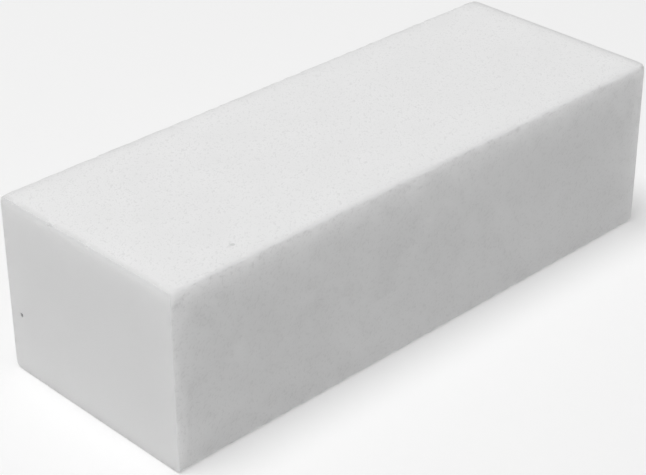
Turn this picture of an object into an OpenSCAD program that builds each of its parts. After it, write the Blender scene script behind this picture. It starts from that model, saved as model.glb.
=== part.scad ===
// Nail buffer block: a soft foam core with abrasive grit bonded straight to its four long faces.
// Millimetres. X runs along the block, Z is up, and the origin is the middle of the bottom face.
// Each long face has a thin coat of bonding resin and a coat of grit over it. Both wrap half way
// round the eased long edges and meet the next face's coats there. The two ends are bare cut foam.

/* [Block] */
// Finished length, from one cut end to the other
block_length = 95; // [60:1:120]
// Finished width, over the front and back coats
block_width = 35.5; // [25:0.5:50]
// Finished height, over the bottom and top coats
block_height = 27.7; // [20:0.1:40]
// Radius to which the four long edges are eased
edge_radius = 0.4; // [0.3:0.1:1.5]

/* [Coats] */
// Thickness of the resin that bonds the grit to the foam
resin_thickness = 0.04; // [0.02:0.01:0.1]
// Thickness of the coat of abrasive grit
grit_thickness = 0.08; // [0.06:0.01:0.2]

/* [Hidden] */
$fn = 64;

// Depths below the finished faces at which the resin and the foam begin
resin_depth = grit_thickness;
foam_depth = resin_depth + resin_thickness;

foam_color = "WhiteSmoke";
resin_color = "Ivory";
grit_color = "White";

// Stretches a cross-section, drawn as Y across and Z up, along the whole block
module along_block() {
    rotate([90, 0, 90])
        linear_extrude(height = block_length, center = true)
            children();
}

// The block's cross-section at a depth below its finished faces, with rounded corners
module section(depth) {
    radius = edge_radius - depth;
    corner_y = block_width / 2 - edge_radius;
    corner_z = block_height / 2 - edge_radius;
    translate([0, block_height / 2]) {
        square([2 * corner_y, block_height - 2 * depth], center = true);
        square([block_width - 2 * depth, 2 * corner_z], center = true);
        for (y = [-corner_y, corner_y], z = [-corner_z, corner_z])
            translate([y, z]) circle(r = radius);
    }
}

// The part of the cross-section that belongs to the bottom face, mitred at its two edges
module bottom_face_zone() {
    half_width = block_width / 2;
    inner_half = half_width - edge_radius;
    polygon([[-half_width, 0], [half_width, 0], [inner_half, edge_radius], [-inner_half, edge_radius]]);
}

// The same for the front face
module front_face_zone() {
    front_y = -block_width / 2;
    inner_y = front_y + edge_radius;
    top_z = block_height - edge_radius;
    polygon([[front_y, 0], [inner_y, edge_radius], [inner_y, top_z], [front_y, block_height]]);
}

// One coat, from its depth inwards, cut to the face zone given as a child
module coat(depth, thickness) {
    along_block() intersection() {
        difference() {
            section(depth);
            section(depth + thickness);
        }
        children();
    }
}

// Mirrors a coat of the bottom face up to the top face
module on_top() {
    translate([0, 0, block_height]) mirror([0, 0, 1]) children();
}

// Mirrors a coat of the front face across to the back face
module on_back() {
    mirror([0, 1, 0]) children();
}

module foam_core() {
    color(foam_color) along_block() section(foam_depth);
}

module bottom_bond_resin() {
    color(resin_color) coat(resin_depth, resin_thickness) bottom_face_zone();
}

module bottom_grit_coat() {
    color(grit_color) coat(0, grit_thickness) bottom_face_zone();
}

module top_bond_resin() {
    on_top() bottom_bond_resin();
}

module top_grit_coat() {
    on_top() bottom_grit_coat();
}

module front_bond_resin() {
    color(resin_color) coat(resin_depth, resin_thickness) front_face_zone();
}

module front_grit_coat() {
    color(grit_color) coat(0, grit_thickness) front_face_zone();
}

module back_bond_resin() {
    on_back() front_bond_resin();
}

module back_grit_coat() {
    on_back() front_grit_coat();
}

foam_core();
top_bond_resin();
top_grit_coat();
bottom_bond_resin();
bottom_grit_coat();
front_bond_resin();
front_grit_coat();
back_bond_resin();
back_grit_coat();
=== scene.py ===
"""Nail buffer block: a block of white foam with fine grit bonded to its four long faces."""
import math

import bpy
import numpy as np
from bpy.props import FloatProperty, FloatVectorProperty, IntProperty, PointerProperty
from mathutils import Matrix, Vector, noise


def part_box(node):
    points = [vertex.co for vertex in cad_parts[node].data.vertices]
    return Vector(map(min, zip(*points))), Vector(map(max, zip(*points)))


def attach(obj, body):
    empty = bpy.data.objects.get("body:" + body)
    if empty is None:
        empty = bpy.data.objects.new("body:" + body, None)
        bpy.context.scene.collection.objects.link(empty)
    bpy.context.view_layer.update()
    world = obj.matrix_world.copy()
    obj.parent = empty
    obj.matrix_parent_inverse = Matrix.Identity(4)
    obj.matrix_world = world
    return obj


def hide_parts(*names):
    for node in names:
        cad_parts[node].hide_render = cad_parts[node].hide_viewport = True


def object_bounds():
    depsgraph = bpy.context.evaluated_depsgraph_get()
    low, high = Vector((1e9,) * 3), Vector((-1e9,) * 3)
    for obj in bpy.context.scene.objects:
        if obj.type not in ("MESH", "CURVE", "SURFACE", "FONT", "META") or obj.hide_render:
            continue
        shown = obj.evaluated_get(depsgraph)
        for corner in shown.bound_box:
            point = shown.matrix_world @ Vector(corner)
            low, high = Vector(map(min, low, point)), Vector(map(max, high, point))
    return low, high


bl_info = {
    "name": "Nail Buffer Block",
    "version": (1, 0, 0),
    "blender": (4, 5, 0),
    "location": "View3D > Sidebar > Buffer Block",
    "description": "Makes a foam nail buffer block with grit on its long faces",
    "category": "Add Mesh",
}

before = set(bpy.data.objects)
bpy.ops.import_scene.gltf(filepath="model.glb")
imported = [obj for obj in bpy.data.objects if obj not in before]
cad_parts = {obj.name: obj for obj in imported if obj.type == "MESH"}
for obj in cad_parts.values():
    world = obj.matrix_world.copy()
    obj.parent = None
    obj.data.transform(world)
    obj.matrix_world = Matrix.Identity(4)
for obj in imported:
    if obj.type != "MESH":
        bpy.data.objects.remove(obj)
CAD_LOW, CAD_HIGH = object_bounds()

MM = 0.001
BODY = "root"

# The finished block, and the depth below its faces of what the grit stands on: the foam with its
# coat of clear resin, which has soaked in. Both come from the CAD nodes.
LENGTH, WIDTH, HEIGHT = CAD_HIGH - CAD_LOW
MIDDLE = (CAD_LOW + CAD_HIGH) / 2
RESIN_DEPTH = CAD_HIGH.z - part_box("top_bond_resin")[1].z

# The block's faces, in millimetres
LEFT, FRONT, BASE = CAD_LOW / MM
RIGHT, BACK, TOP = CAD_HIGH / MM

# Small marks on the finished block, in millimetres: where each one is, how far round it reaches,
# how far and which way the surface is pushed in, and how dark its hollow is painted: shade, with some
# sanding dust.
SMALL_MARKS = (
    # Open pores in the cut ends, darkened inside with painted shade and some dust
    ((LEFT, BACK - 2.35, BASE + 9.5), 0.36, (0.9, 0.0, 0.0), 1.0),
    ((RIGHT, -6.8, BASE + 18.4), 0.28, (-0.6, 0.0, 0.0), 0.9),
    # Nicks where the blade tore the left end's top edge, darkened with painted shadow
    ((LEFT, 14.9, TOP - 0.25), 0.35, (0.2, 0.0, -0.05), 0.08),
    ((LEFT, 7.0, TOP - 0.3), 0.45, (0.3, 0.0, -0.08), 0.14),
    ((LEFT, 6.6, TOP - 0.3), 0.4, (0.2, 0.0, -0.06), 0.12),
    ((LEFT, -1.1, TOP - 0.25), 0.4, (0.25, 0.0, -0.06), 0.1),
    # A speck where grit has come off the top
    ((LEFT + 13.5, FRONT + 3.65, TOP), 0.45, (0.0, 0.0, -0.1), 0.22),
)

# The left end's front top corner, knocked round, in the same terms
KNOCKED_CORNER = ((LEFT, FRONT, TOP), 2.6, (0.22, 0.2, -0.3), 0.0)

# How far from an edge, a corner and a cut's rim its wear or painted shade reaches
EDGE_REACH = 1.3 * MM
CORNER_REACH = 1.6 * MM
RIM_REACH = 1.2 * MM

# The coats' share of the foam's wear: a little more, so that the deepest wear has taken off grit
COAT_SHARE = 1.1

# Each coat's quarter turns about the block's length, from the top face
QUARTER_TURNS = {"top": 0, "front": 1, "bottom": 2, "back": 3}


def linear(hex_colour):
    """A colour written as sRGB hex, such as "f4f4f2", as linear RGBA."""
    channels = [int(hex_colour[i:i + 2], 16) / 255 for i in (0, 2, 4)]
    return [c / 12.92 if c <= 0.04045 else ((c + 0.055) / 1.055) ** 2.4 for c in channels] + [1.0]


# ---------------------------------------------------------------- settings


class BufferFoamSettings(bpy.types.PropertyGroup):
    """Sizes and colours of the foam."""

    edge_radius: FloatProperty(
        name="Long Edge Radius", description="Radius of the block's four long edges",
        default=0.4 * MM, min=0.3 * MM, unit="LENGTH", precision=5)
    cut_radius: FloatProperty(
        name="Cut Edge Radius", description="Radius to which the edges of the cut ends are eased",
        default=0.18 * MM, min=0.1 * MM, unit="LENGTH", precision=5)
    pitch: FloatProperty(
        name="Mesh Pitch", description="Spacing of the mesh lines on the cut ends",
        default=0.36 * MM, min=0.1 * MM, unit="LENGTH", precision=5)
    rows: IntProperty(
        name="Rows", description="Cuts along the block's length", default=190, min=8)
    waviness: FloatProperty(
        name="Cut Waviness", description="How far the cut ends wander from flat",
        default=0.08 * MM, min=0.0, unit="LENGTH", precision=5)
    cell_relief: FloatProperty(
        name="Cell Relief", description="Height of the cut cells on the ends",
        default=0.02 * MM, min=0.0, unit="LENGTH", precision=5)
    edge_wear: FloatProperty(
        name="Edge Wear", description="How far the long edges are rubbed in where it shows most",
        default=0.2 * MM, min=0.0, unit="LENGTH", precision=5)
    corner_wear: FloatProperty(
        name="Corner Wear", description="How far the eight corners are rubbed in",
        default=0.2 * MM, min=0.0, unit="LENGTH", precision=5)
    colour: FloatVectorProperty(
        name="Foam Colour", description="Colour of the foam", subtype="COLOR", size=4,
        min=0.0, max=1.0, default=linear("ececec"))
    # Besides sanding dust, this colour paints the shade in the pores, nicks and speck and on the left
    # cut's rims.
    dust_and_painted_shade: FloatVectorProperty(
        name="Dust Colour", description="Colour of the sanding dust in pores and nicks",
        subtype="COLOR", size=4, min=0.0, max=1.0, default=linear("5a5a5a"))
    # Painted shade: how dark the top and bottom rims of the left cut are painted, dimming the light
    # glowing through the foam there.
    painted_rim_shade: FloatProperty(
        name="Rim Dust", description="Share of dust on the top and bottom rims of the left cut",
        default=0.15, min=0.0, max=1.0, subtype="FACTOR")
    light_travel: FloatProperty(
        name="Light Travel", description="How far light travels inside the foam",
        default=7.0 * MM, min=0.0, unit="LENGTH", precision=5)
    cut_light_travel: FloatProperty(
        name="Light Travel at Cuts",
        description="How far it travels in from the cut ends, whose open cells scatter it more",
        default=4.0 * MM, min=0.0, unit="LENGTH", precision=5)


class BufferGritSettings(bpy.types.PropertyGroup):
    """Sizes and colours of the grit coats."""

    pitch: FloatProperty(
        name="Mesh Pitch",
        description="Spacing of the mesh lines, which is the size of the drawn grains",
        default=0.2 * MM, min=0.1 * MM, unit="LENGTH", precision=5)
    peak_depth: FloatProperty(
        name="Peak Depth", description="Depth of the tallest grains below the finished face",
        default=0.062 * MM, min=0.0, unit="LENGTH", precision=5)
    relief: FloatProperty(
        name="Relief", description="Height from the deepest hollow to the tallest grain",
        default=0.069 * MM, min=0.0, unit="LENGTH", precision=5)
    thinning: FloatProperty(
        name="Thinning", description="How much thinner the coat is where it meets the next one",
        default=0.04 * MM, min=0.0, unit="LENGTH", precision=5)
    root_depth: FloatProperty(
        name="Root Depth", description="Depth of the coat's hidden underside below the finished face",
        default=0.26 * MM, min=0.15 * MM, unit="LENGTH", precision=5)
    colour: FloatVectorProperty(
        name="Grit Colour", description="Colour of the grains", subtype="COLOR", size=4,
        min=0.0, max=1.0, default=linear("e5e5e5"))


class BufferStageSettings(bpy.types.PropertyGroup):
    """The floor, the lights and the camera."""

    lens: FloatProperty(
        name="Lens", description="Focal length of the camera", default=104.3, unit="CAMERA")
    azimuth: FloatProperty(
        name="Azimuth", description="Turn of the camera about the block, from the front face",
        default=math.radians(-44.05), subtype="ANGLE")
    elevation: FloatProperty(
        name="Elevation", description="Height of the camera above the horizon",
        default=math.radians(30.12), subtype="ANGLE")
    roll: FloatProperty(
        name="Roll", description="Turn of the camera about its own view line",
        default=math.radians(-0.27), subtype="ANGLE")
    distance: FloatProperty(
        name="Distance", description="From the camera to the point it looks at",
        default=278.5 * MM, unit="LENGTH")
    target: FloatVectorProperty(
        name="Target", description="The point the camera looks at", subtype="TRANSLATION",
        default=(-2.1 * MM, 2.15 * MM, 8.95 * MM))
    floor_colour: FloatVectorProperty(
        name="Floor Colour", description="Colour of the floor", subtype="COLOR", size=4,
        min=0.0, max=1.0, default=linear("e0e0e0"))
    floor_glow: FloatProperty(
        name="Floor Glow", description="Brightness of the light that comes up through the floor",
        default=0.24, min=0.0)
    sky: FloatProperty(
        name="Sky", description="Brightness of the even light from all round", default=0.26)
    key_power: FloatProperty(
        name="Key Power", description="Power of the large soft light overhead",
        default=15.4, unit="POWER")
    key_size: FloatProperty(
        name="Key Size", description="Width of the large soft light", default=0.8, unit="LENGTH")
    key_place: FloatVectorProperty(
        name="Key Place", description="Middle of the large soft light", subtype="TRANSLATION",
        default=(-0.3, 0.06, 1.5))


class BufferBlockSettings(bpy.types.PropertyGroup):
    """All that a user would change."""

    foam: PointerProperty(type=BufferFoamSettings)
    grit: PointerProperty(type=BufferGritSettings)
    stage: PointerProperty(type=BufferStageSettings)


# ---------------------------------------------------------------- mesh helpers


def deselect_all():
    """Leaves nothing selected, because an operator acts on all that is."""
    if bpy.context.object and bpy.context.object.mode != "OBJECT":
        bpy.ops.object.mode_set(mode="OBJECT")
    bpy.ops.object.select_all(action="DESELECT")


def use_only(piece):
    """Makes one piece the selected and active object."""
    deselect_all()
    piece.select_set(True)
    bpy.context.view_layer.objects.active = piece


def points_of(piece):
    """The piece's vertices as rows of x, y, z."""
    points = np.empty(len(piece.data.vertices) * 3)
    piece.data.vertices.foreach_get("co", points)
    return points.reshape(-1, 3)


def faces_of(piece, kind):
    """The center or the normal of each of the piece's faces, as rows of x, y, z."""
    values = np.empty(len(piece.data.polygons) * 3)
    piece.data.polygons.foreach_get(kind, values)
    return values.reshape(-1, 3)


def move_points(piece, x, y, z):
    """Puts the piece's vertices at these places."""
    piece.data.vertices.foreach_set("co", np.column_stack([x, y, z]).ravel())
    piece.data.update()


def apply_modifier(piece, kind, **values):
    """Adds a modifier with these settings and applies it."""
    use_only(piece)
    modifier = piece.modifiers.new(kind.title(), kind)
    for name, value in values.items():
        setattr(modifier, name, value)
    bpy.ops.object.modifier_apply(modifier=modifier.name)


def weight_group(piece, name, weights):
    """A vertex group with one weight for each vertex, in steps of a twentieth."""
    group = piece.vertex_groups.new(name=name)
    steps = np.rint(weights * 20) / 20
    for step in np.unique(steps[steps > 0]):
        group.add(np.flatnonzero(steps == step).tolist(), float(step), "REPLACE")
    return group.name


def noise_texture(name, basis, scale, depth=0):
    """Blender's cloud texture, whose features are scale wide."""
    texture = bpy.data.textures.new(name, "CLOUDS")
    texture.noise_basis = basis
    texture.noise_scale = scale
    texture.noise_depth = depth
    return texture


def smooth_step(value, low, high):
    """0 below low, 1 above high, and a smooth rise between."""
    t = np.clip((value - low) / (high - low), 0.0, 1.0)
    return t * t * (3 - 2 * t)


def select_elements(piece, kind, chosen):
    """In edit mode, selects these of the piece's vertices, edges or faces and nothing else."""
    use_only(piece)
    bpy.ops.object.mode_set(mode="EDIT")
    bpy.ops.mesh.select_mode(type={"vertices": "VERT", "edges": "EDGE", "polygons": "FACE"}[kind])
    bpy.ops.mesh.select_all(action="DESELECT")
    bpy.ops.object.mode_set(mode="OBJECT")
    getattr(piece.data, kind).foreach_set("select", chosen)
    bpy.ops.object.mode_set(mode="EDIT")


def mesh_lines(flat_half, beyond, pitch):
    """Places of mesh lines from the middle of a span: evenly out to flat_half on both sides, and
    then at these distances beyond it."""
    even = np.linspace(-flat_half, flat_half, round(2 * flat_half / pitch) + 1)
    outer = flat_half + beyond[1:]
    return np.concatenate([-outer[::-1], even, outer])


def grid_on_lines(name, lines_u, lines_v):
    """A grid in the XY plane whose mesh lines are at these places."""
    deselect_all()
    cells_u, cells_v = len(lines_u) - 1, len(lines_v) - 1
    bpy.ops.mesh.primitive_grid_add(x_subdivisions=cells_u, y_subdivisions=cells_v, size=2)
    piece = bpy.context.object
    piece.name = piece.data.name = name
    u, v, _ = points_of(piece).T
    column = np.rint((u + 1) / 2 * cells_u).astype(int)
    row = np.rint((v + 1) / 2 * cells_v).astype(int)
    move_points(piece, lines_u[column], lines_v[row], np.zeros(len(u)))
    return piece


def round_drop(distance, radius):
    """How far a quarter-round has dropped at a distance from the edge that it rounds."""
    left = np.clip(radius - distance, 0, radius)
    return radius - np.sqrt(radius ** 2 - left ** 2)


def nearness(distance, reach):
    """1 at no distance, falling smoothly to 0 at the reach."""
    return np.clip(1 - distance / reach, 0, 1) ** 2


def noise_at(points, scale):
    """Smooth noise from 0 to 1 at these places, whose features are scale wide."""
    return np.array([0.5 + 0.5 * noise.noise(Vector(point)) for point in points / scale])


def rubbed_in(points, depths, foam):
    """How far each point moves where the block's long edges and corners are rubbed in. The depths
    are the point's, below the block's three nearest faces."""
    inward = -np.sign(points - np.array(MIDDLE))
    at_corner = nearness(np.linalg.norm(depths, axis=1), CORNER_REACH)
    at_corner *= foam.corner_wear / math.sqrt(3)
    at_edge = nearness(np.hypot(depths[:, 1], depths[:, 2]), EDGE_REACH)
    worn = at_edge > 0
    broad = smooth_step(noise_at(points[worn], 1.6 * MM), 0.3, 0.7)
    fine = smooth_step(noise_at(points[worn], 0.7 * MM), 0.35, 0.65)
    uneven = 0.1 + 0.6 * broad + 0.3 * fine
    at_edge[worn] *= foam.edge_wear * uneven / math.sqrt(2)
    change = inward * at_corner[:, None]
    change[:, 1:] += inward[:, 1:] * at_edge[:, None]
    return change


def painted_rim_shade(points, depths, foam):
    """Painted shade along the top and bottom rims of the cut at the left end, in the dust colour,
    which dims the light glowing through the foam there.
    """
    dust_and_painted_shade = np.zeros(len(points))
    in_cut = points[:, 0] < CAD_LOW.x + 0.2 * MM
    at_rim = nearness(depths[in_cut, 2], RIM_REACH)
    dust_and_painted_shade[in_cut] = foam.painted_rim_shade * at_rim * (0.4 + 1.2 * noise_at(points[in_cut], 1.5 * MM))
    return dust_and_painted_shade


def wear(piece, foam, share=1.0):
    """Makes a share of all the block's wear and marks on one piece. Foam and coats go through the
    same change, so that the grit keeps its place on the foam."""
    points = points_of(piece)
    half = np.array((LENGTH, WIDTH, HEIGHT)) / 2
    depths = half - np.abs(points - np.array(MIDDLE))
    change = rubbed_in(points, depths, foam)
    dust_and_painted_shade = painted_rim_shade(points, depths, foam)
    for place, reach, push, dust_and_shade_level in (*SMALL_MARKS, KNOCKED_CORNER):
        distance = np.linalg.norm(points - np.array(place) * MM, axis=1) / (reach * MM)
        in_mark = np.clip(1 - distance ** 2, 0, 1)
        change += in_mark[:, None] ** 2 * np.array(push) * MM
        dust_and_painted_shade = np.maximum(dust_and_painted_shade, dust_and_shade_level * smooth_step(in_mark, 0.0, 0.75))
    move_points(piece, *(points + share * change).T)
    # The painted shade in the marks and on the rims, with the dust in the marks, goes to the materials
    # as a point attribute.
    piece.data.attributes.new("dust_and_painted_shade", "FLOAT", "POINT").data.foreach_set("value", dust_and_painted_shade)


# ---------------------------------------------------------------- material helpers


def add_node(tree, kind, settings=None, links=None):
    """Adds a node. A setting or link is keyed by its socket's name or number, and a setting that
    names no socket sets the node's own property."""
    node = tree.nodes.new(kind)
    for key, value in (settings or {}).items():
        if isinstance(key, int) or key in node.inputs:
            node.inputs[key].default_value = value
        else:
            setattr(node, key, value)
    for key, output in (links or {}).items():
        tree.links.new(output, node.inputs[key])
    return node


def new_material(name):
    """An empty material, its node tree, and its Object coordinates in millimetres."""
    material = bpy.data.materials.new(name)
    material.use_nodes = True
    tree = material.node_tree
    tree.nodes.clear()
    place = add_node(tree, "ShaderNodeTexCoord")
    in_mm = add_node(
        tree, "ShaderNodeMapping", {"Scale": (1 / MM, 1 / MM, 1 / MM)},
        {"Vector": place.outputs["Object"]})
    return material, tree, in_mm.outputs["Vector"]


def tone_between(tree, amount, colour, share):
    """The colour, darkened to a share of itself where amount is 1."""
    darker = [channel * share for channel in colour[:3]] + [1.0]
    # 6 and 7 are the Mix node's two colours, and 2 its colour output.
    mix = add_node(
        tree, "ShaderNodeMix", {"data_type": "RGBA", 6: colour, 7: darker}, {0: amount})
    return mix.outputs[2]


def with_dust_and_painted_shade(tree, colour, foam):
    """The colour, darkened towards the dust colour where the mesh's attribute has it: painted shade in
    the pores, nicks and speck and on the left cut's rims, with some sanding dust.
    """
    dust_and_painted_shade = add_node(tree, "ShaderNodeAttribute", {"attribute_name": "dust_and_painted_shade"})
    mix = add_node(
        tree, "ShaderNodeMix", {"data_type": "RGBA", 7: list(foam.dust_and_painted_shade)},
        {0: dust_and_painted_shade.outputs["Fac"], 6: colour})
    return mix.outputs[2]


def foam_material(name, foam, travel, cell_mm, cell_height):
    """Closed-cell EVA foam. Light goes some millimetres into it, so that an edge beside a
    brighter face glows. Its cells make a fine even stipple, and it has next to no gloss."""
    material, tree, mm = new_material(name)
    # The real cells are near 0.1 mm, which is too fine to show, so they are drawn at cell_mm.
    cells = add_node(tree, "ShaderNodeTexVoronoi", {"Scale": 1 / cell_mm}, {"Vector": mm})
    # The foam's density drifts a little over about 7 mm.
    drift = add_node(
        tree, "ShaderNodeTexNoise", {"Scale": 1 / 7, "Detail": 3.0, "Roughness": 0.5},
        {"Vector": mm})
    colour = with_dust_and_painted_shade(tree, tone_between(tree, drift.outputs["Fac"], list(foam.colour), 0.97), foam)
    roughness = add_node(
        tree, "ShaderNodeMapRange", {"To Min": 0.75, "To Max": 0.95},
        {"Value": cells.outputs["Distance"]})
    bump = add_node(
        tree, "ShaderNodeBump", {"Strength": 1.0, "Distance": cell_height},
        {"Height": cells.outputs["Distance"]})
    surface = add_node(
        tree, "ShaderNodeBsdfPrincipled",
        {
            "Subsurface Weight": 1.0,
            "Subsurface Radius": (travel, travel, travel),
            "Subsurface Scale": 1.0,
            "IOR": 1.49,
            "Specular IOR Level": 0.25,
        },
        {
            "Base Color": colour,
            "Roughness": roughness.outputs["Result"],
            "Normal": bump.outputs["Normal"],
        })
    add_node(tree, "ShaderNodeOutputMaterial", None, {"Surface": surface.outputs["BSDF"]})
    return material


def grit_material(grit, foam):
    """White fused alumina grit under a dry stearate dusting: matt, with a faint glint where a
    grain's face is bare."""
    material, tree, mm = new_material("white_alumina_grit")
    # 180 grit is 0.08 mm, which is too fine to show, so its grains are drawn at 0.16 mm.
    grains = add_node(tree, "ShaderNodeTexVoronoi", {"Scale": 1 / 0.16}, {"Vector": mm})
    own = add_node(tree, "ShaderNodeSeparateColor", None, {"Color": grains.outputs["Color"]})
    colour = with_dust_and_painted_shade(tree, tone_between(tree, own.outputs["Red"], list(grit.colour), 0.98), foam)
    roughness = add_node(
        tree, "ShaderNodeMapRange", {"To Min": 0.55, "To Max": 0.95},
        {"Value": own.outputs["Green"]})
    bump = add_node(
        tree, "ShaderNodeBump", {"Strength": 0.8, "Distance": 0.016 * MM},
        {"Height": grains.outputs["Distance"]})
    surface = add_node(
        tree, "ShaderNodeBsdfPrincipled", {"IOR": 1.6, "Specular IOR Level": 0.3},
        {
            "Base Color": colour,
            "Roughness": roughness.outputs["Result"],
            "Normal": bump.outputs["Normal"],
        })
    add_node(tree, "ShaderNodeOutputMaterial", None, {"Surface": surface.outputs["BSDF"]})
    return material


# ---------------------------------------------------------------- foam


def rounded_corners(y, z, radius):
    """Moves a rectangular grid's corner squares onto quarter discs, ring for ring."""
    half_y, half_z = np.abs(y).max(), np.abs(z).max()
    over_y = (np.abs(y) - (half_y - radius)) / radius
    over_z = (np.abs(z) - (half_z - radius)) / radius
    in_corner = (over_y > 0) & (over_z > 0)
    squeeze = np.where(in_corner, np.maximum(over_y, over_z) / np.hypot(over_y, over_z), 1.0)
    new_y = np.where(in_corner, half_y - radius + radius * over_y * squeeze, np.abs(y))
    new_z = np.where(in_corner, half_z - radius + radius * over_z * squeeze, np.abs(z))
    return np.copysign(new_y, y), np.copysign(new_z, z)


def depth_in_section(y, z, half_y, half_z, radius):
    """How deep a point lies inside a rectangle with rounded corners, centred on 0, 0."""
    over_y, over_z = np.abs(y) - (half_y - radius), np.abs(z) - (half_z - radius)
    outside = np.hypot(np.maximum(over_y, 0), np.maximum(over_z, 0))
    return radius - outside - np.minimum(np.maximum(over_y, over_z), 0)


class OBJECT_OT_buffer_foam(bpy.types.Operator):
    """Makes the foam core, with two cut ends and the resin-sealed faces that the grit stands on"""

    bl_idname = "object.buffer_foam"
    bl_label = "Foam Core"

    def execute(self, context):
        foam = context.scene.buffer_block.foam
        piece = self.block(foam)
        self.roughen_ends(piece, foam)
        self.refine(piece, [KNOCKED_CORNER], reaches=1.0, cuts=1)
        self.refine(piece, SMALL_MARKS, reaches=1.8, cuts=3)
        wear(piece, foam)
        self.paint(piece, foam)
        use_only(piece)
        bpy.ops.object.shade_smooth_by_angle(angle=math.radians(50))
        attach(piece, BODY)
        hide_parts("foam_core", *(f"{face}_bond_resin" for face in QUARTER_TURNS))
        return {"FINISHED"}

    def block(self, foam):
        """A closed block: one cut end as a grid, given the block's length by Solidify."""
        self.radius = foam.edge_radius - RESIN_DEPTH
        # The lines are close over the long edges' round, and closest over the cuts' smaller round.
        cut_round = self.radius - (foam.cut_radius - RESIN_DEPTH)
        border = np.append(np.linspace(0, cut_round, 3)[:-1], np.linspace(cut_round, self.radius, 4))
        piece = grid_on_lines(
            "foam_block",
            mesh_lines(WIDTH / 2 - foam.edge_radius, border, foam.pitch),
            mesh_lines(HEIGHT / 2 - foam.edge_radius, border, foam.pitch))
        across, up, _ = points_of(piece).T
        across, up = rounded_corners(across, up, self.radius)
        move_points(piece, np.full(len(up), LENGTH / 2), across, up + MIDDLE.z)
        apply_modifier(piece, "SOLIDIFY", thickness=LENGTH, offset=-1.0)
        self.cut_into_rows(piece, foam.rows)
        x, y, z = points_of(piece).T
        at_end = np.abs(x) > LENGTH / 2 - 0.01 * MM
        depth = RESIN_DEPTH + self.depth(y, z)
        drop = np.where(at_end, round_drop(depth, foam.cut_radius), 0.0)
        move_points(piece, x - np.sign(x) * drop, y, z)
        return piece

    def depth(self, y, z):
        """How deep a point lies inside the foam's cross-section."""
        half_y, half_z = WIDTH / 2 - RESIN_DEPTH, HEIGHT / 2 - RESIN_DEPTH
        return depth_in_section(y, z - MIDDLE.z, half_y, half_z, self.radius)

    def cut_into_rows(self, piece, rows):
        """Cuts the faces that run the block's whole length."""
        ends = np.empty(len(piece.data.edges) * 2, int)
        piece.data.edges.foreach_get("vertices", ends)
        x = points_of(piece)[:, 0][ends.reshape(-1, 2)]
        select_elements(piece, "edges", np.abs(x[:, 0] - x[:, 1]) > LENGTH / 2)
        bpy.ops.mesh.subdivide(number_cuts=rows)
        bpy.ops.object.mode_set(mode="OBJECT")

    def roughen_ends(self, piece, foam):
        """Gives the cut ends the blade's slow wander and the stipple of cut cells."""
        x, y, z = points_of(piece).T
        at_end = np.abs(x) > LENGTH / 2 - foam.cut_radius
        # The rim stays sharp, and all the relief shows from 1 mm in.
        inside = smooth_step(self.depth(y, z), 0.1 * MM, 1.0 * MM)
        group = weight_group(piece, "cut_ends", np.where(at_end, inside, 0.0))
        # The mid level of 1 keeps all the relief below the cut, inside the block's length.
        wander = noise_texture("blade_wander", "BLENDER_ORIGINAL", 9 * MM, depth=1)
        apply_modifier(
            piece, "DISPLACE", texture=wander, texture_coords="LOCAL", vertex_group=group,
            strength=foam.waviness, mid_level=1.0)
        cells = noise_texture("cut_cells", "CELL_NOISE", foam.pitch)
        apply_modifier(
            piece, "DISPLACE", texture=cells, texture_coords="LOCAL", vertex_group=group,
            strength=foam.cell_relief, mid_level=1.0)

    def refine(self, piece, marks, reaches, cuts):
        """Cuts the faces smaller within so many reaches of these marks, whose shape needs it."""
        centres = faces_of(piece, "center")
        near = np.zeros(len(centres), bool)
        for place, reach, _, _ in marks:
            near |= np.linalg.norm(centres - np.array(place) * MM, axis=1) < reaches * reach * MM
        select_elements(piece, "polygons", near)
        bpy.ops.mesh.subdivide(number_cuts=cuts)
        bpy.ops.object.mode_set(mode="OBJECT")

    def paint(self, piece, foam):
        """Cut foam on the ends, and resin-sealed foam on the long faces."""
        cut = foam_material(
            "cut_eva_foam", foam, foam.cut_light_travel, cell_mm=0.22, cell_height=0.02 * MM)
        sealed = foam_material(
            "resin_sealed_eva_foam", foam, foam.light_travel, cell_mm=0.2, cell_height=0.012 * MM)
        piece.data.materials.append(cut)
        piece.data.materials.append(sealed)
        # Far enough in from the ends to take in the bottoms of the pores
        at_end = np.abs(faces_of(piece, "center")[:, 0]) > LENGTH / 2 - 1.2 * MM
        faces_end = np.abs(faces_of(piece, "normal")[:, 0]) > 0.5
        piece.data.polygons.foreach_set("material_index", np.where(at_end & faces_end, 0, 1))


# ---------------------------------------------------------------- grit


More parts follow.
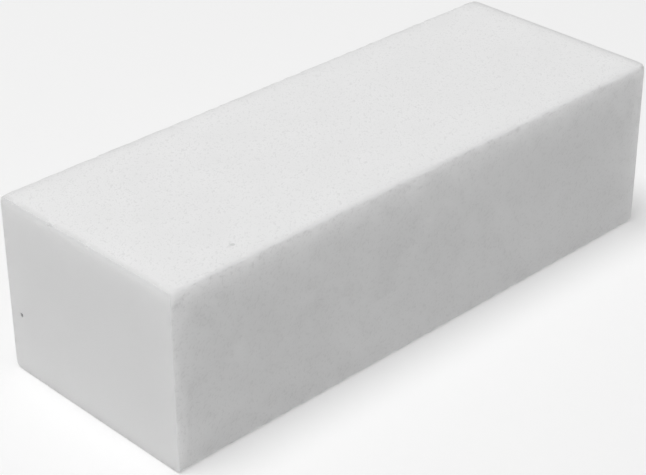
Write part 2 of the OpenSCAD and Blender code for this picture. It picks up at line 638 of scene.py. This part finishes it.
class OBJECT_OT_buffer_grit(bpy.types.Operator):
    """Makes the four coats of grit, each wrapped half way round the long edges beside it"""

    bl_idname = "object.buffer_grit"
    bl_label = "Grit Coats"

    def execute(self, context):
        foam, grit = context.scene.buffer_block.foam, context.scene.buffer_block.grit
        material = grit_material(grit, foam)
        wide = self.coat("top_grit", WIDTH, foam, grit)
        tall = self.coat("front_grit", HEIGHT, foam, grit)
        self.place(wide, "top")
        self.place(tall, "front")
        coats = {
            "top": wide,
            "front": tall,
            "bottom": self.turned_copy(wide, "bottom_grit"),
            "back": self.turned_copy(tall, "back_grit"),
        }
        for face, piece in coats.items():
            wear(piece, foam, COAT_SHARE)
            piece.data.materials.append(material)
            # The foam under it casts the same shadow, and the real coat lets light through.
            piece.visible_shadow = False
            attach(piece, BODY)
            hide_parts(f"{face}_grit_coat")
        return {"FINISHED"}

    def coat(self, name, face_width, foam, grit):
        """A closed sheet, modelled flat and face up: a fine rough top, walls and a plain underside.
        Height 0 is the finished face."""
        radius, cut = foam.edge_radius, foam.cut_radius
        flat_half = face_width / 2 - radius
        # The coat ends where the cut's round has dropped as far as the resin.
        lip = np.linspace(0, math.acos(1 - RESIN_DEPTH / cut), 4)
        along = mesh_lines(LENGTH / 2 - cut, cut * np.sin(lip), grit.pitch)
        across = mesh_lines(flat_half, radius * np.linspace(0, math.pi / 4, 4), grit.pitch)
        piece = grid_on_lines(name, along, across)
        top_count = len(piece.data.vertices)
        use_only(piece)
        bpy.ops.object.mode_set(mode="EDIT")
        bpy.ops.mesh.select_mode(type="EDGE")
        bpy.ops.mesh.select_all(action="DESELECT")
        bpy.ops.mesh.select_non_manifold()
        bpy.ops.mesh.extrude_region_move(
            TRANSFORM_OT_translate={"value": (0, 0, -grit.root_depth)})
        bpy.ops.mesh.edge_face_add()
        bpy.ops.mesh.select_all(action="SELECT")
        bpy.ops.mesh.normals_make_consistent(inside=False)
        bpy.ops.object.mode_set(mode="OBJECT")
        is_top = np.arange(len(piece.data.vertices)) < top_count
        group = weight_group(piece, "grit", is_top.astype(float))
        # Noise cells smaller than the mesh give every vertex a height of its own.
        grains = noise_texture(f"{name}_grains", "CELL_NOISE", 0.6 * grit.pitch)
        apply_modifier(
            piece, "DISPLACE", texture=grains, texture_coords="LOCAL", vertex_group=group,
            direction="Z", strength=grit.relief, mid_level=1.0)
        x, s, height = points_of(piece).T
        drop = grit.peak_depth + round_drop(LENGTH / 2 - np.abs(x), cut)
        # The grit thins out where it meets the next coat, so that foam shows between the two.
        drop += smooth_step(np.abs(s), flat_half, np.abs(s).max()) * grit.thinning
        depth = -height + np.where(is_top, drop, 0.0)
        # Wrap the flat sheet's two long sides round the block's long edges.
        turn = np.clip(np.abs(s) - flat_half, 0, None) / radius
        y = np.copysign(np.minimum(np.abs(s), flat_half) + (radius - depth) * np.sin(turn), s)
        z = (radius - depth) * np.cos(turn) - radius
        move_points(piece, x, y, z)
        use_only(piece)
        bpy.ops.object.shade_smooth_by_angle(angle=math.radians(60))
        return piece

    def place(self, piece, face):
        """Lifts a coat from the origin to the top of the block, and turns it to its own face."""
        half_depth = (HEIGHT if face == "top" else WIDTH) / 2
        lift = Matrix.Translation((0, 0, half_depth))
        turn = Matrix.Rotation(QUARTER_TURNS[face] * math.pi / 2, 4, "X")
        piece.data.transform(Matrix.Translation(MIDDLE) @ turn @ lift)
        piece.data.update()

    def turned_copy(self, piece, name):
        """The same coat on the opposite face, with its own mesh."""
        use_only(piece)
        bpy.ops.object.duplicate(linked=False)
        copy = bpy.context.object
        copy.name = copy.data.name = name
        half_turn = Matrix.Rotation(math.pi, 4, "X")
        copy.data.transform(Matrix.Translation(MIDDLE) @ half_turn @ Matrix.Translation(-MIDDLE))
        copy.data.update()
        return copy


# ---------------------------------------------------------------- stage


class SCENE_OT_buffer_stage(bpy.types.Operator):
    """Makes the floor, the soft studio light and the camera"""

    bl_idname = "scene.buffer_stage"
    bl_label = "Stage"

    def execute(self, context):
        stage = context.scene.buffer_block.stage
        self.floor(stage)
        self.light(context.scene, stage)
        self.camera(context.scene, stage)
        context.scene.view_settings.view_transform = "Standard"
        return {"FINISHED"}

    def floor(self, stage):
        """The opal acrylic sheet of a product table, faintly lit from below."""
        deselect_all()
        bpy.ops.mesh.primitive_plane_add(size=6.0, location=(0, 0, CAD_LOW.z))
        floor = bpy.context.object
        floor.name = "floor"
        bpy.ops.object.transform_apply(location=True)
        material, tree, mm = new_material("opal_acrylic_table")
        fibres = add_node(tree, "ShaderNodeTexNoise", {"Scale": 1 / 40, "Detail": 4.0}, {"Vector": mm})
        colour = tone_between(tree, fibres.outputs["Fac"], list(stage.floor_colour), 0.995)
        surface = add_node(
            tree, "ShaderNodeBsdfPrincipled",
            {"Roughness": 0.9, "Specular IOR Level": 0.1, "Emission Color": (1, 1, 1, 1),
             "Emission Strength": stage.floor_glow},
            {"Base Color": colour})
        add_node(tree, "ShaderNodeOutputMaterial", None, {"Surface": surface.outputs["BSDF"]})
        floor.data.materials.append(material)

    def light(self, scene, stage):
        """Even light from all round, and a large soft light overhead, over the left end."""
        world = bpy.data.worlds.new("studio")
        world.use_nodes = True
        world.node_tree.nodes["Background"].inputs["Color"].default_value = (1, 1, 1, 1)
        world.node_tree.nodes["Background"].inputs["Strength"].default_value = stage.sky
        scene.world = world
        place = Vector(stage.key_place)
        deselect_all()
        bpy.ops.object.light_add(type="AREA", location=place)
        key = bpy.context.object
        key.name = "key_light"
        key.rotation_euler = (MIDDLE - place).to_track_quat("-Z", "Y").to_euler()
        key.data.shape = "DISK"
        key.data.size = stage.key_size
        key.data.energy = stage.key_power

    def camera(self, scene, stage):
        """A long lens, looking down at the left end and the front face."""
        around, above = stage.azimuth, stage.elevation
        back = Vector((
            math.sin(around) * math.cos(above), -math.cos(around) * math.cos(above), math.sin(above)))
        deselect_all()
        bpy.ops.object.camera_add(location=Vector(stage.target) + back * stage.distance)
        camera = bpy.context.object
        camera.name = "camera"
        look = (-back).to_track_quat("-Z", "Y").to_matrix() @ Matrix.Rotation(stage.roll, 3, "Z")
        camera.rotation_euler = look.to_euler()
        camera.data.lens = stage.lens
        camera.data.clip_start, camera.data.clip_end = 0.01, 20.0
        scene.camera = camera


# ---------------------------------------------------------------- panel and running


class VIEW3D_PT_buffer_block(bpy.types.Panel):
    """The pieces of the buffer block, in the order in which they are made"""

    bl_label = "Buffer Block"
    bl_space_type = "VIEW_3D"
    bl_region_type = "UI"
    bl_category = "Buffer Block"

    def draw(self, context):
        settings = context.scene.buffer_block
        for operator, group in (
            (SCENE_OT_buffer_stage, settings.stage),
            (OBJECT_OT_buffer_foam, settings.foam),
            (OBJECT_OT_buffer_grit, settings.grit),
        ):
            box = self.layout.box()
            for name in group.__annotations__:
                box.prop(group, name)
            box.operator(operator.bl_idname)


CLASSES = (
    BufferFoamSettings,
    BufferGritSettings,
    BufferStageSettings,
    BufferBlockSettings,
    SCENE_OT_buffer_stage,
    OBJECT_OT_buffer_foam,
    OBJECT_OT_buffer_grit,
    VIEW3D_PT_buffer_block,
)


def register():
    """Adds the classes and the scene's settings."""
    for cls in CLASSES:
        bpy.utils.register_class(cls)
    bpy.types.Scene.buffer_block = PointerProperty(type=BufferBlockSettings)


def unregister():
    """Takes them away again."""
    del bpy.types.Scene.buffer_block
    for cls in reversed(CLASSES):
        bpy.utils.unregister_class(cls)


def main():
    """Makes everything in order."""
    register()
    bpy.ops.scene.buffer_stage()
    bpy.ops.object.buffer_foam()
    bpy.ops.object.buffer_grit()


if __name__ == "__main__":
    main()
